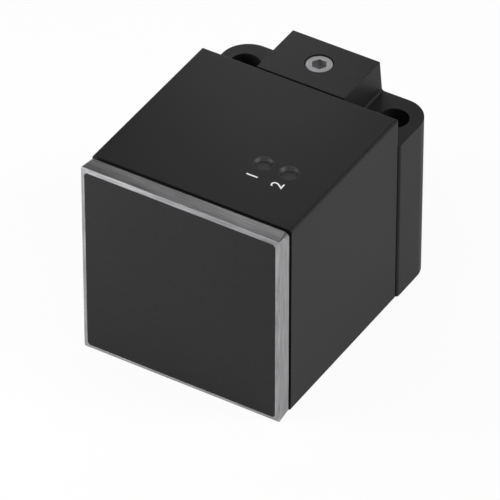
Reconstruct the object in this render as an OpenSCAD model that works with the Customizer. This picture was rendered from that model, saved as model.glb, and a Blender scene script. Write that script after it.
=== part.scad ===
// Cubic inductive proximity sensor, plugged into a two-hole mounting base.
// Lengths are in millimetres. Depths (y) are counted from the sensing face towards the back, and the
// finished model is moved so that its origin lies midway between the mounting holes on the mounting face.

/* [Head housing] */
// Width and height of the square head
head_w = 40; // [39:0.5:50]
// Depth of the head from the sensing face to its back
head_d = 40; // [39:0.1:55]
// Thickness of the housing's walls
wall = 2; // [1.8:0.1:2.4]
// Rounding of the housing's long and rear edges
edge_r = 0.5; // [0.2:0.1:1.5]
// Corner radius of the cavity
cavity_r = 1; // [0.5:0.1:2]
// Side of the four corner posts that carry the core carrier
post_w = 3; // [2:0.1:4]
// How far the board rails stand in from the side walls
rail_w = 2; // [1:0.1:3]
// Thickness of each board rail
rail_t = 1.2; // [0.8:0.1:2]

/* [Front frame and gasket] */
// Depth of the metal frame
frame_d = 3.2; // [2.6:0.1:4.5]
// Corner radius at the back of the frame
frame_r = 1; // [0.5:0.1:2]
// Corner radius behind the lip, from which the corners widen towards the back
lip_corner_r = 0.3; // [0.1:0.05:0.5]
// Width of the sloping lip
lip_w = 0.75; // [0.5:0.05:1]
// Depth by which the lip slopes back
lip_drop = 0.3; // [0.2:0.05:0.8]
// Flat land between the lip and the sensing cap
lip_land = 0.1; // [0.05:0.05:0.2]
// Thickness of the gasket
gasket_t = 0.8; // [0.5:0.1:1.5]
// Depth of the groove that the gasket leaves open
gasket_inset = 0.5; // [0.3:0.1:1]

/* [Sensing cap] */
// Thickness of the sensing face
cap_t = 1.6; // [1.2:0.1:2]
// Corner radius of the sensing face
cap_r = 0.7; // [0.5:0.1:1.5]
// Thickness of the skirt
skirt_t = 1.2; // [0.9:0.1:1.5]
// Length of the skirt behind the sensing face
skirt_l = 6.8; // [6:0.1:7.5]
// Width of each snap rib
snap_w = 12; // [6:0.5:20]
// Length of a snap rib along the skirt
snap_l = 1.6; // [1:0.1:2]
// Height of a snap rib
snap_h = 0.5; // [0.3:0.05:0.6]
// Distance from the end of the skirt to the snap ribs
snap_back = 0.6; // [0.3:0.1:1]

/* [Core and coil] */
// Thickness of the shield ring
shield_t = 0.5; // [0.3:0.1:1]
// Length of the shield ring
shield_l = 8; // [6:0.5:9]
// Length of the ferrite core
core_l = 9; // [9:0.5:11]
// Thickness of the core's outer wall
core_wall = 2.2; // [1.6:0.1:3]
// Thickness of the core's back
core_back = 2.5; // [1.8:0.1:3]
// Diameter of the core's centre post
core_post_d = 12.4; // [10:0.1:14]
// Diameter of the bore through the centre post
core_bore_d = 5.2; // [3:0.1:6]
// Thickness of the former's flanges
flange_t = 0.6; // [0.4:0.1:1]
// Thickness of the former's tube
former_t = 0.7; // [0.5:0.1:1]
// How far the winding stays below the former's flanges
winding_inset = 0.5; // [0.2:0.1:1]
// Diameter of the two winding ends
coil_lead_d = 0.5; // [0.3:0.1:0.8]
// Distance of each winding end from the middle
coil_lead_x = 9.5; // [9:0.1:11]
// Length of the winding ends on the board
coil_lead_over = 2.2; // [1:0.1:2.5]
// Thickness of the core carrier's plate
carrier_t = 1.8; // [1.2:0.1:2.5]
// Width of each pair of board jaws
jaw_w = 3; // [2:0.1:4]
// Length of the board jaws
jaw_l = 2.5; // [1.5:0.1:3]
// Distance of the board jaws from the middle
jaw_x = 13.5; // [13:0.1:13.8]

/* [Board] */
// Thickness of the board
board_t = 1.6; // [1:0.1:2]
// Space between the board and the housing's rear wall
board_end_gap = 0.5; // [0.3:0.1:2]
// Distance of the indicator row from the sensing face
led_y = 17.4; // [17.2:0.1:18.5]
// Distance of the first indicator from the middle
led_x = 6.3; // [5.8:0.1:6.5]
// Distance between the two indicators
led_pitch = 5.08; // [4.8:0.02:5.4]
// Length of an indicator's package
led_l = 3.2; // [2.8:0.1:3.4]
// Width of an indicator's package
led_w = 2.8; // [2.4:0.1:3]
// Height of an indicator's package
led_h = 1.9; // [1.2:0.1:2.4]
// Diameter of the light guides
guide_d = 4; // [3:0.1:4.2]
// Depth of the dished window
dish_depth = 0.7; // [0.3:0.05:1]
// Width of the rim round the dished window
dish_rim = 0.2; // [0.1:0.05:0.4]
// Diameter of the collar under the housing's top wall
collar_d = 4.8; // [4.6:0.1:4.8]
// Thickness of that collar
collar_t = 1.2; // [0.8:0.1:2]
// Gap between an indicator and its light guide
light_gap = 0.2; // [0.1:0.05:0.3]

/* [Components] */
// Length of the sensor chip
chip_l = 8.65; // [8:0.05:10]
// Width of the sensor chip
chip_w = 3.9; // [3.5:0.1:4.5]
// Height of the sensor chip
chip_h = 1.6; // [1.2:0.1:2]
// Distance between the chip's legs
chip_pitch = 1.27; // [1:0.01:1.3]
// Number of legs on each side of the chip
chip_legs = 7; // [4:1:7]
// Distance of the sensor chip from the middle
chip_x = 6; // [5:0.1:7]
// Distance of the sensor chip from the board's front edge
chip_back = 9; // [8.5:0.1:9.5]
// Width of the output transistor
transistor_w = 6.5; // [6:0.1:7]
// Length of the output transistor's body
transistor_l = 6.1; // [5.5:0.1:6.5]
// Height of the output transistor
transistor_h = 2.3; // [1.8:0.1:3]
// Length of the output transistor's legs
transistor_leg_l = 2.2; // [1.5:0.1:2.5]
// Length of the voltage regulator
regulator_l = 4.5; // [4:0.1:5]
// Width of the voltage regulator
regulator_w = 2.5; // [2:0.1:2.8]
// Height of the voltage regulator
regulator_h = 1.5; // [1:0.1:2]
// Distance of the voltage regulator from the middle
regulator_x = 8.5; // [8:0.1:10]
// Distance of the voltage regulator from the board's front edge
regulator_back = 10.5; // [10:0.1:11.5]
// Length of the suppressor diode
diode_l = 4.3; // [4:0.1:4.6]
// Width of the suppressor diode
diode_w = 3.6; // [3:0.1:4]
// Height of the suppressor diode
diode_h = 2.2; // [1.8:0.1:2.6]
// Diameter of the buffer capacitor
buffer_d = 5; // [4:0.1:5.2]
// Height of the buffer capacitor
buffer_h = 5.4; // [4:0.1:6]
// Space between the components behind and the board's rear edge
rear_margin = 1.4; // [1:0.1:1.6]
// Space between the outermost components and the board rails
rail_margin = 0.3; // [0.2:0.1:0.5]
// Space between the buffer capacitor and the suppressor diode
rear_gap = 0.7; // [0.4:0.1:1.2]
// Length of the small chip components
small_l = 2; // [1.6:0.1:2.2]
// Width of the small chip components
small_w = 1.25; // [0.8:0.05:1.4]
// Height of the small capacitors
capacitor_h = 1; // [0.6:0.1:1.4]
// Height of the resistors
resistor_h = 0.6; // [0.4:0.05:0.8]
// Distance between the resistors
resistor_pitch = 2.2; // [2:0.1:2.3]
// Distance between the small capacitors
capacitor_pitch = 3.2; // [2.5:0.1:3.4]
// Distance of the small capacitors from the board's front edge
capacitor_back = 4.4; // [4.2:0.1:4.6]
// Distance of the resistors from the board's rear edge
resistor_front = 7; // [6.5:0.1:7.5]
// Length of the large ceramic capacitor
large_l = 3.2; // [2.8:0.1:3.6]
// Width of the large ceramic capacitor
large_w = 1.6; // [1.2:0.1:2]
// Height of the large ceramic capacitor
large_h = 1.3; // [0.8:0.1:1.6]
// Distance of the large ceramic capacitor from the middle
large_x = 1.8; // [1.5:0.1:2.5]

/* [Connection leads] */
// Diameter over the insulation
lead_d = 1.3; // [1:0.05:1.6]
// Diameter of the conductor
conductor_d = 0.7; // [0.4:0.05:0.8]
// Length of the stripped end
strip_l = 2.2; // [1.5:0.1:3]
// Length of lead that lies over the board, stripped end included
lead_over = 4.4; // [3.5:0.1:5]
// Width of a solder joint
solder_w = 1.3; // [1:0.1:1.6]

/* [Tail] */
// Diameter of the round tail
tail_d = 17; // [16:0.1:17.4]
// Diameter of the bore through the tail
tail_bore_d = 12.4; // [11.5:0.1:12.6]
// Cord diameter of the tail's O-ring
tail_seal_d = 1.4; // [1:0.1:1.5]
// Distance from the housing's back to the O-ring groove
tail_groove_y = 1.6; // [1.2:0.1:2]
// Chamfer at the end of the tail
tail_chamfer = 0.5; // [0.2:0.1:0.8]
// Depth of the four dimples for the lock screw's point
dimple_depth = 0.4; // [0.35:0.05:0.7]
// Length of the resin plug
potting_l = 4.5; // [3:0.1:5]

/* [Mounting base] */
// Gap between the head and the base
base_gap = 0.4; // [0.2:0.1:1]
// How far the base stands out beside the head on each side
base_side = 0.2; // [0:0.1:4]
// Depth of the base
base_d = 12; // [12:0.1:16]
// How far the base beside the centre block lies below the head's top
base_drop = 6; // [4:0.1:8]
// Radius of the rear upright edges
base_r = 5.3; // [2:0.1:7]
// How far the centre block stands above the head's top
block_rise = 0; // [0:0.05:1]
// Width of the centre block at its top
block_w = 17.8; // [16:0.1:20]
// Draft of the centre block's sides, in degrees
block_draft = 5; // [1:0.5:8]
// Fillet at the foot of the centre block
block_fillet = 0.4; // [0.3:0.1:1.5]
// Thickness of the base behind the socket for the tail, where the connector is held
back_t = 3.1; // [2.9:0.1:3.2]
// Diameter of the mounting holes
hole_d = 5.5; // [4.5:0.1:6]
// Distance of each mounting hole from the base's side
hole_edge = 5; // [4.5:0.1:6]
// Distance from the base's back to the line of holes and screw
hole_back = 5.9; // [5.7:0.1:6.5]

/* [Lock screw] */
// Nominal diameter of the screw
screw_d = 5; // [4:0.1:5.5]
// Diameter of the screw's point
point_d = 3.2; // [2:0.1:3.6]
// Length of the screw's point
point_l = 1.5; // [1:0.1:2]
// How far the screw ends below the top of the block
screw_recess = 0.5; // [0:0.1:1]
// Width across flats of the hexagon socket
hex_af = 2.5; // [2:0.1:3]
// Depth of the hexagon socket
hex_depth = 3; // [2:0.1:4]
// Flat rim between the hexagon's sides and the drilled cone below it
hex_rim = 0.15; // [0.05:0.05:0.4]
// Angle of the drill's point, in degrees
drill_angle = 118; // [100:1:135]
// Outer diameter of the threaded insert
insert_d = 7; // [6.5:0.1:8]
// Length of the threaded insert
insert_l = 7; // [5:0.1:9]
// Width of the retaining groove round the insert
insert_groove_w = 1.4; // [0.8:0.1:2]
// Depth of that groove
insert_groove_depth = 0.3; // [0.2:0.05:0.5]

/* [Connector] */
// Outer diameter of the connector thread
thread_d = 12; // [11:0.5:13]
// Thickness of the sleeve at its thread
sleeve_wall = 0.95; // [0.8:0.05:1.1]
// Length of the connector behind the base
connector_l = 9.6; // [9:0.1:12]
// Length of the undercut in front of the thread
undercut_l = 0.6; // [0.5:0.1:2]
// Depth of the undercut
undercut_depth = 0.4; // [0.2:0.05:0.5]
// How far the sleeve's shank in the base stands out beyond the thread
shank_step = 0.5; // [0.3:0.05:0.6]
// How far the sleeve's flange stands out beyond the shank
flange_step = 0.8; // [0.6:0.05:1]
// Thickness of the sleeve's flange
sleeve_flange_t = 1; // [0.8:0.1:1.1]
// Cord diameter of the sleeve's O-ring
sleeve_seal_d = 0.9; // [0.7:0.05:1]
// How far the flange on the contact carrier stands out beyond the sleeve's bore
carrier_step = 0.55; // [0.4:0.05:0.7]
// Thickness of that flange
carrier_flange_t = 0.6; // [0.4:0.1:0.9]
// Thickness of the contact carrier's wall round the plug cavity
carrier_wall = 0.62; // [0.5:0.02:0.7]
// Depth of the plug cavity
plug_depth = 7.6; // [6:0.1:9]
// How far the contact carrier ends inside the sleeve
carrier_recess = 0.7; // [0.3:0.1:1.5]
// Width of the coding key
key_w = 1.3; // [1:0.1:1.6]
// Height of the coding key
key_h = 0.7; // [0.4:0.1:0.8]
// Diameter of the contact pins
pin_d = 1; // [0.8:0.05:1.1]
// Diameter of the circle that the pins stand on
pin_circle_d = 5; // [4.6:0.1:5.4]
// How far the pins end inside the sleeve
pin_recess = 1.8; // [1:0.1:3]
// Diameter of the pins' solder ends
pin_tail_d = 1.6; // [1.3:0.05:1.7]
// Length of the pins' solder ends
pin_tail_l = 2.4; // [1.5:0.1:3]

/* [Hidden] */
$fn = 64;

// Clearance of a sliding fit, of a pressed or wound fit, and of the board in its rails
fit = 0.1;
press = 0.03;
board_fit = 0.1;
// Clearance of the tail in its socket
tail_fit = 0.15;
// Overshoot of a cutting shape beyond the face that it opens
cut = 1;

// Height of the head's middle axis, which the core, the tail and the connector share
axis_z = head_w / 2;
cavity_w = head_w - 2 * wall;

// Front frame, cap and gasket
pocket_w = head_w - 2 * (lip_w + lip_land);
cap_w = pocket_w - 2 * press;
skirt_w = cavity_w - 2 * fit;
skirt_bore = skirt_w - 2 * skirt_t;
snap_y = cap_t + skirt_l - snap_back - snap_l;
housing_y = frame_d + gasket_t;

// Core and coil, from the inner side of the sensing face
shield_r = skirt_bore / 2 - fit;
core_r = shield_r - shield_t - fit;
slot_r = core_r - core_wall;
slot_l = core_l - core_back;
former_l = slot_l - fit;
former_tube_r = core_post_d / 2 + fit + former_t;
core_end = cap_t + core_l;
carrier_end = core_end + carrier_t;

// Board
board_z = axis_z - board_t / 2;
board_top = board_z + board_t;
board_y = carrier_end + fit;
board_end = head_d - wall - board_end_gap;
board_w = cavity_w - 2 * fit;
// How far out a component may reach beside the rails
edge_x = cavity_w / 2 - rail_w - rail_margin;
coil_lead_rise = board_t / 2 + coil_lead_d / 2 + press;
guide_z = board_top + led_h + light_gap;

// Mounting base
base_y = head_d + base_gap;
base_w = head_w + 2 * base_side;
base_h = head_w - base_drop;
block_h = head_w + block_rise;
hole_spacing = base_w - 2 * hole_edge;
base_end = base_y + base_d;
hole_y = base_end - hole_back;
socket_l = base_d - back_t;
socket_end = base_y + socket_l;
socket_r = tail_d / 2 + tail_fit;
tail_l = base_gap + socket_l;
// Play of an O-ring along its groove
ring_play = 0.4;
groove_l = tail_seal_d + ring_play;

// Lock screw, which stands in a dimple of the tail and ends below the block's top, and its insert
point_play = 0.2;
screw_z = axis_z + tail_d / 2 - dimple_depth + fit;
screw_l = block_h - screw_recess - screw_z;
insert_floor = 0.3;
insert_z = axis_z + socket_r + insert_floor;
insert_bore = screw_d + 2 * press;

// Connector
sleeve_end = base_end + connector_l;
sleeve_bore_d = thread_d - 2 * sleeve_wall;
shank_d = thread_d + 2 * shank_step;
flange_d = shank_d + 2 * flange_step;
flange_seat_r = flange_d / 2 + fit;
shank_hole_r = shank_d / 2 + fit;
carrier_r = sleeve_bore_d / 2 - press;
carrier_flange_r = sleeve_bore_d / 2 + carrier_step;
plug_r = carrier_r - carrier_wall;
cavity_floor = sleeve_end - carrier_recess - plug_depth;
pin_offset = pin_circle_d / 2 * sqrt(0.5);
pin_start = socket_end - pin_tail_l;

// Moves depths counted from the sensing face into the model's own frame
module from_face() {
    translate([0, -hole_y, 0]) children();
}

// Extrudes an outline seen from the front, x to the right and z up, along the depth
module prism_y(start, length) {
    translate([0, start + length, 0]) rotate([90, 0, 0]) linear_extrude(length) children();
}

// Extrudes an outline in depth and height along the width, centred
module prism_x(length) {
    translate([-length / 2, 0, 0]) rotate([90, 0, 90]) linear_extrude(length) children();
}

// Round bar along the depth, on the head's middle axis
module bar_y(start, length, radius) {
    translate([0, start, axis_z]) rotate([-90, 0, 0]) cylinder(h = length, r = radius);
}

// Turns an outline of radius and depth about the head's middle axis
module turned_y(start) {
    translate([0, start, axis_z]) rotate([-90, 0, 0]) rotate_extrude() children();
}

// Rectangle with round corners
module rounded(width, height, radius) {
    square([width, height - 2 * radius], center = true);
    square([width - 2 * radius, height], center = true);
    for (x = [-1, 1], y = [-1, 1]) {
        translate([x * (width / 2 - radius), y * (height / 2 - radius)]) circle(radius);
    }
}

// Rounded square about the head's middle axis, seen from the front
module head_square(width, radius) {
    translate([0, axis_z]) rounded(width, width, radius);
}

// Repeats a shape on the four sides of the head
module on_four_sides() {
    for (side = [0 : 3]) {
        translate([0, 0, axis_z]) rotate([0, 90 * side, 0]) children();
    }
}

// Repeats a shape left and right of the head's middle axis, and above and below it
module in_four_quarters() {
    for (x = [0, 1], z = [0, 1]) {
        translate([0, 0, axis_z]) mirror([x, 0, 0]) mirror([0, 0, z]) children();
    }
}

// Moves a shape from the middle axis to one of the four leads and pins
module at_pin(column, row) {
    translate([column * pin_offset, 0, row * pin_offset]) children();
}

// Outer form of the frame through three outlines: at the lip's inner edge, behind the lip, and at the back
module frame_body() {
    slice = 0.01;
    hull() {
        prism_y(0, slice) head_square(head_w - 2 * lip_w, cap_r + lip_land, $fn = 32);
        prism_y(lip_drop, slice) head_square(head_w, lip_corner_r, $fn = 32);
        prism_y(frame_d - slice, slice) head_square(head_w, frame_r, $fn = 32);
    }
}

module front_frame() {
    color("silver") from_face() difference() {
        frame_body();
        prism_y(-cut, cap_t + cut) head_square(pocket_w, cap_r + press);
        prism_y(-cut, frame_d + 2 * cut) head_square(cavity_w, cavity_r);
    }
}

module sensing_cap() {
    rib_root = skirt_w / 2 - skirt_t / 2;
    rib_top = skirt_w / 2 + snap_h;
    color("dimgray") from_face() difference() {
        union() {
            prism_y(0, cap_t) head_square(cap_w, cap_r);
            prism_y(cap_t, skirt_l) head_square(skirt_w, cavity_r - fit);
            // Snap ribs: square towards the sensing face, sloped towards the back
            on_four_sides() prism_x(snap_w) polygon([
                [snap_y, rib_root],
                [snap_y, rib_top],
                [snap_y + snap_l / 3, rib_top],
                [snap_y + snap_l, skirt_w / 2],
                [snap_y + snap_l, rib_root]
            ]);
        }
        prism_y(cap_t, skirt_l + cut) head_square(skirt_bore, cavity_r - fit);
    }
}

module frame_gasket() {
    color("black") from_face() prism_y(frame_d, gasket_t) difference() {
        head_square(head_w - 2 * gasket_inset, frame_r);
        head_square(cavity_w, cavity_r);
    }
}

// Outer form of the head behind the gasket, with round long and rear edges
module head_body() {
    length = head_d - housing_y;
    middle = housing_y + length / 2;
    intersection() {
        prism_y(housing_y, length) head_square(head_w, edge_r);
        prism_x(head_w) translate([middle - length / 2, axis_z]) rounded(2 * length, head_w, edge_r);
        linear_extrude(head_w) translate([0, middle - length / 2]) rounded(head_w, 2 * length, edge_r);
    }
}

// Outer form of the tail: starts inside the rear wall, with an O-ring groove and a chamfered end
module tail_body() {
    radius = tail_d / 2;
    floor_r = socket_r - tail_seal_d;
    root = -wall / 2;
    turned_y(head_d) polygon([
        [0, root],
        [radius, root],
        [radius, tail_groove_y],
        [floor_r, tail_groove_y],
        [floor_r, tail_groove_y + groove_l],
        [radius, tail_groove_y + groove_l],
        [radius, tail_l - tail_chamfer],
        [radius - tail_chamfer, tail_l],
        [0, tail_l]
    ]);
}

module head_housing() {
    cavity_l = head_d - wall - housing_y;
    post_l = head_d - wall / 2 - carrier_end;
    rail_y = board_y + jaw_l;
    rail_l = head_d - wall / 2 - rail_y;
    slot_h = board_t + 2 * board_fit;
    color([0.16, 0.16, 0.17]) from_face() difference() {
        union() {
            difference() {
                head_body();
                prism_y(housing_y - cut, cavity_l + cut) head_square(cavity_w, cavity_r);
            }
            // Corner posts and board rails, each grown halfway into the wall beside it
            in_four_quarters() translate([cavity_w / 2 - post_w, carrier_end, cavity_w / 2 - post_w])
                cube([post_w + wall / 2, post_l, post_w + wall / 2]);
            in_four_quarters() translate([cavity_w / 2 - rail_w, rail_y, slot_h / 2])
                cube([rail_w + wall / 2, rail_l, rail_t]);
            tail_body();
        }
        // Pockets that the cap's snap ribs spring into
        on_four_sides() translate([-snap_w / 2 - fit, snap_y - fit, 0])
            cube([snap_w + 2 * fit, snap_l + 2 * fit, skirt_w / 2 + snap_h + fit]);
        // Window holes
        for (k = [0, 1]) {
            translate([led_x + k * led_pitch, led_y, head_w - wall - cut])
                cylinder(h = wall + 2 * cut, d = guide_d + 2 * press);
        }
        bar_y(head_d - wall - cut, wall + tail_l + 2 * cut, tail_bore_d / 2);
        on_four_sides() translate([0, hole_y, tail_d / 2 - dimple_depth])
            cylinder(h = dimple_depth + cut, d = point_d + 2 * point_play);
    }
}

module shield_ring() {
    color("peru") from_face() difference() {
        bar_y(cap_t, shield_l, shield_r);
        bar_y(cap_t - cut, shield_l + 2 * cut, shield_r - shield_t);
    }
}

module ferrite_core() {
    color([0.25, 0.25, 0.27]) from_face() difference() {
        turned_y(cap_t) polygon([
            [core_bore_d / 2, 0],
            [core_post_d / 2, 0],
            [core_post_d / 2, slot_l],
            [slot_r, slot_l],
            [slot_r, 0],
            [core_r, 0],
            [core_r, core_l],
            [core_bore_d / 2, core_l]
        ]);
        coil_lead_holes();
    }
}

// Two holes for the winding ends, through the core's back and the carrier
module coil_lead_holes() {
    for (x = [-1, 1]) {
        translate([x * coil_lead_x, 0, coil_lead_rise]) bar_y(cap_t + slot_l - cut,
            core_back + carrier_t + 2 * cut, coil_lead_d / 2 + fit);
    }
}

module coil_former() {
    inner_r = core_post_d / 2 + fit;
    outer_r = slot_r - fit;
    color("ivory") from_face() turned_y(cap_t) polygon([
        [inner_r, 0],
        [outer_r, 0],
        [outer_r, flange_t],
        [former_tube_r, flange_t],
        [former_tube_r, former_l - flange_t],
        [outer_r, former_l - flange_t],
        [outer_r, former_l],
        [inner_r, former_l]
    ]);
}

module coil_winding() {
    start = cap_t + flange_t + press;
    length = former_l - 2 * (flange_t + press);
    color("chocolate") from_face() difference() {
        bar_y(start, length, slot_r - fit - winding_inset);
        bar_y(start - cut, length + 2 * cut, former_tube_r + press);
    }
}

module coil_leads() {
    start = cap_t + former_l;
    color("chocolate") from_face() for (x = [-1, 1]) {
        translate([x * coil_lead_x, 0, coil_lead_rise])
            bar_y(start, board_y + coil_lead_over - start, coil_lead_d / 2);
    }
}

module core_carrier() {
    plate_w = cavity_w - 2 * fit;
    pin_l = core_l / 2;
    color("lightgray") from_face() difference() {
        union() {
            prism_y(core_end, carrier_t) head_square(plate_w, cavity_r - fit);
            bar_y(core_end - pin_l, pin_l + carrier_t / 2, core_bore_d / 2 - fit);
            // Jaws above and below the board's front edge
            for (x = [-1, 1], z = [-1, 1]) {
                translate([
                    x * jaw_x - jaw_w / 2,
                    core_end + carrier_t / 2,
                    axis_z + z * (board_t / 2 + board_fit + rail_t / 2) - rail_t / 2
                ]) cube([jaw_w, carrier_t / 2 + jaw_l, rail_t]);
            }
        }
        coil_lead_holes();
    }
}

module main_board() {
    color("darkgreen") from_face() translate([-board_w / 2, board_y, board_z])
        cube([board_w, board_end - board_y, board_t]);
}

// Moves a component to its place: across, and back from the board's front edge
module on_board(across, back) {
    translate([across, board_y + back, board_top]) children();
}

// The same, counted forwards from the board's rear edge
module on_board_rear(across, front) {
    translate([across, board_end - front, board_top]) children();
}

// Block standing on the board, centred across and along
module body(length, width, height) {
    translate([-length / 2, -width / 2, 0]) cube([length, width, height]);
}

// Flat package with gull-wing legs along its two long sides
module flat_package(length, width, height, legs, pitch) {
    reach = pitch * 0.8;
    leg_w = pitch * 0.32;
    leg_t = height / 8;
    stand = leg_t / 2;
    translate([0, 0, stand]) body(length, width, height - stand);
    for (k = [0 : legs - 1], side = [0, 180]) {
        rotate([0, 0, side]) translate([(k - (legs - 1) / 2) * pitch - leg_w / 2, width / 2, 0]) {
            translate([0, -leg_t, height / 2]) cube([leg_w, reach / 2 + leg_t, leg_t]);
            translate([0, reach / 2 - leg_t, 0]) cube([leg_w, leg_t, height / 2 + leg_t]);
            translate([0, reach / 2 - leg_t, 0]) cube([leg_w, reach / 2 + leg_t, leg_t]);
        }
    }
}

// Chip component with metal end caps a little thicker than its body
module chip_component(length, width, height) {
    cap_l = length / 5;
    step = width / 25;
    translate([0, 0, step]) body(length - 2 * cap_l, width - 2 * step, height - 2 * step);
    for (side = [0, 180]) {
        rotate([0, 0, side]) translate([-length / 2, -width / 2, 0]) cube([cap_l, width, height]);
    }
}

module sensor_chip() {
    color("black") from_face() on_board(-chip_x, chip_back)
        flat_package(chip_l, chip_w, chip_h, chip_legs, chip_pitch);
}

// Power package, lying with its legs towards the side rail and its metal tab towards the middle
module output_transistor() {
    tab_t = transistor_h / 4.5;
    tab_l = transistor_l / 6;
    leg_w = transistor_w / 8;
    leg_x = transistor_w * 0.35;
    middle_x = edge_x - transistor_leg_l - transistor_l / 2;
    color("black") from_face() on_board_rear(-middle_x, rear_margin + transistor_w / 2) {
        body(transistor_l, transistor_w, transistor_h);
        translate([transistor_l / 2 - tab_t, -transistor_w / 2 + tab_t, 0])
            cube([tab_l + tab_t, transistor_w - 2 * tab_t, tab_t]);
        for (y = [-1, 1]) {
            translate([-transistor_l / 2 - transistor_leg_l, y * leg_x - leg_w / 2, 0])
                cube([transistor_leg_l + tab_t, leg_w, tab_t]);
        }
    }
}

module voltage_regulator() {
    leg_w = regulator_l / 9;
    leg_l = regulator_w / 3;
    leg_t = regulator_h / 4;
    color("black") from_face() on_board(regulator_x, regulator_back) {
        body(regulator_l, regulator_w, regulator_h);
        for (k = [-1 : 1]) {
            translate([k * regulator_l / 3 - leg_w / 2, regulator_w / 2 - leg_t, 0])
                cube([leg_w, leg_l + leg_t, leg_t]);
        }
    }
}

// Block package with a metal strap at each end, lying along the depth
module suppressor_diode() {
    strap_w = diode_w * 0.6;
    strap_l = diode_l / 7;
    strap_t = diode_h / 7;
    across = edge_x - buffer_d - rear_gap - diode_w / 2;
    color("black") from_face() on_board_rear(across, rear_margin + strap_l + diode_l / 2) {
        body(diode_w, diode_l, diode_h);
        for (side = [90, 270]) {
            rotate([0, 0, side]) translate([diode_l / 2 - strap_t, -strap_w / 2, 0])
                cube([strap_l + strap_t, strap_w, strap_t]);
        }
    }
}

// Aluminium can on a square plinth, with a bead rolled in above it
module buffer_capacitor() {
    plinth_h = buffer_h / 7;
    radius = buffer_d / 2;
    bead = radius / 8;
    color("lightsteelblue") from_face() on_board_rear(edge_x - radius, rear_margin + radius) {
        body(buffer_d, buffer_d, plinth_h);
        rotate_extrude() polygon([
            [0, plinth_h / 2],
            [radius, plinth_h / 2],
            [radius, 2 * plinth_h],
            [radius - bead, 2 * plinth_h],
            [radius - bead, 2 * plinth_h + 2 * bead],
            [radius, 2 * plinth_h + 2 * bead],
            [radius, buffer_h],
            [0, buffer_h]
        ]);
    }
}

module ceramic_capacitors() {
    color("tan") from_face() {
        for (k = [0 : 2]) {
            on_board(k * capacitor_pitch + small_w / 2 - edge_x, capacitor_back) rotate([0, 0, 90])
                chip_component(small_l, small_w, capacitor_h);
        }
        on_board(large_x, chip_back) chip_component(large_l, large_w, large_h);
    }
}

module resistors() {
    color("black") from_face() for (k = [0 : 3]) {
        on_board_rear((k - 1.5) * resistor_pitch, resistor_front) rotate([0, 0, 90])
            chip_component(small_l, small_w, resistor_h);
    }
}

// Indicator package on the board, with a round lit well in its top
module indicator(number) {
    well_d = led_w * 0.8;
    well_depth = led_h / 3;
    translate([led_x + number * led_pitch, led_y, board_top]) difference() {
        body(led_l, led_w, led_h);
        translate([0, 0, led_h - well_depth]) cylinder(h = well_depth + cut, d = well_d);
    }
}

module power_led() {
    color("palegreen") from_face() indicator(0);
}

module switching_led() {
    color("khaki") from_face() indicator(1);
}

// Light guide: a round rod with a collar under the top wall and a dished top flush with the housing
module light_guide(number) {
    dish_r = guide_d / 2 - dish_rim;
    sphere_r = (dish_r * dish_r + dish_depth * dish_depth) / (2 * dish_depth);
    translate([led_x + number * led_pitch, led_y, 0]) difference() {
        union() {
            translate([0, 0, guide_z]) cylinder(h = head_w - guide_z, d = guide_d);
            translate([0, 0, head_w - wall - collar_t]) cylinder(h = collar_t, d = collar_d);
        }
        translate([0, 0, head_w - dish_depth + sphere_r]) sphere(sphere_r);
    }
}

module power_light_guide() {
    color([0.3, 0.3, 0.32]) from_face() light_guide(0);
}

module switching_light_guide() {
    color([0.3, 0.3, 0.32]) from_face() light_guide(1);
}

module solder_joints() {
    bare_l = strip_l / 10;
    height = pin_offset - board_t / 2;
    length = strip_l - bare_l;
    color("silver") from_face() for (column = [-1, 1], row = [0, 180]) {
        translate([0, board_end - lead_over, axis_z]) rotate([0, row, 0]) difference() {
            translate([column * pin_offset - solder_w / 2, 0, board_t / 2]) cube([solder_w, length, height]);
            translate([column * pin_offset, -cut, pin_offset]) rotate([-90, 0, 0])
                cylinder(h = length + 2 * cut, d = conductor_d);
        }
    }
}

// Insulated lead from the board to a pin, with a stripped end over its solder joint
module connection_lead(column, row) {
    start = board_end - lead_over;
    at_pin(column, row) {
        bar_y(start, strip_l + cut, conductor_d / 2);
        bar_y(start + strip_l, pin_start - start - strip_l, lead_d / 2);
    }
}

module brown_lead() {
    color("saddlebrown") from_face() connection_lead(-1, 1);
}

module white_lead() {
    color("white") from_face() connection_lead(1, 1);
}

module blue_lead() {
    color("royalblue") from_face() connection_lead(1, -1);
}

module black_lead() {
    color("black") from_face() connection_lead(-1, -1);
}

module tail_potting() {
    start = head_d - wall / 2;
    color("darkslategray") from_face() difference() {
        bar_y(start, potting_l, tail_bore_d / 2 - press);
        for (column = [-1, 1], row = [-1, 1]) {
            at_pin(column, row) bar_y(start - cut, potting_l + 2 * cut, lead_d / 2 + press);
        }
    }
}

// O-ring between a groove's floor and the bore around it
module o_ring(bore_r, cord_d) {
    translate([bore_r - cord_d / 2, 0]) circle(d = cord_d - 2 * press);
}

module tail_seal() {
    color("black") from_face() turned_y(head_d + tail_groove_y + groove_l / 2) o_ring(socket_r, tail_seal_d);
}

// Seen from above: sharp edges towards the head, round edges at the back
module base_plan() {
    translate([-base_w / 2, base_y]) square([base_w, base_d - base_r]);
    translate([-base_w / 2 + base_r, base_y]) square([base_w - 2 * base_r, base_d]);
    for (x = [-1, 1]) {
        translate([x * (base_w / 2 - base_r), base_end - base_r]) circle(base_r);
    }
}

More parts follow.
